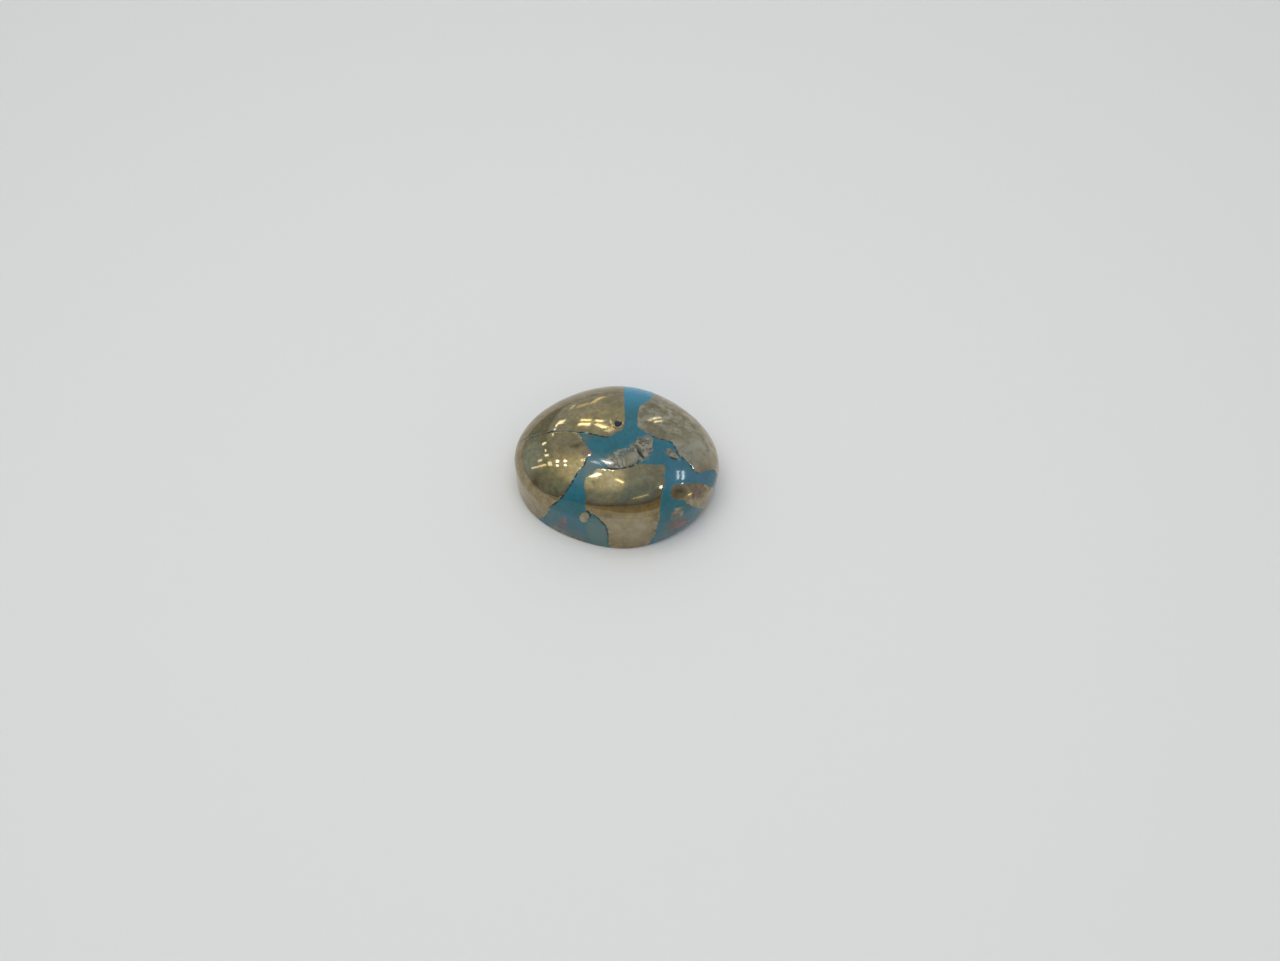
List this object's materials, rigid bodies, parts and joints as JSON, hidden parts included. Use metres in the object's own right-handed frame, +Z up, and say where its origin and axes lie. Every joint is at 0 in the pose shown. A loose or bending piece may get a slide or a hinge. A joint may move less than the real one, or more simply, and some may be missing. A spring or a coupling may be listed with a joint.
{
  "type": "polished turquoise and pyrite cabochon",
  "caption": "Loose oval cabochon of turquoise grown through with brassy pyrite: a glossy low dome on steep sides, with a flat back to rest on or to set in a mount.",
  "frame": {"origin": "centre of the stone's bounding rectangle, on the plane of its flat back", "axes": "+X along the oval's long axis, +Y away from the viewer of the picture, +Z up through the dome"},
  "size_m": [0.02, 0.0168, 0.008],
  "materials": {
    "stone": "glass-smooth lapidary polish: brassy mirror-like pyrite patches in greenish blue turquoise, flat back lapped matt"
  },
  "bodies": {
    "root": {"stone": "stone"}
  },
  "joints": []
}
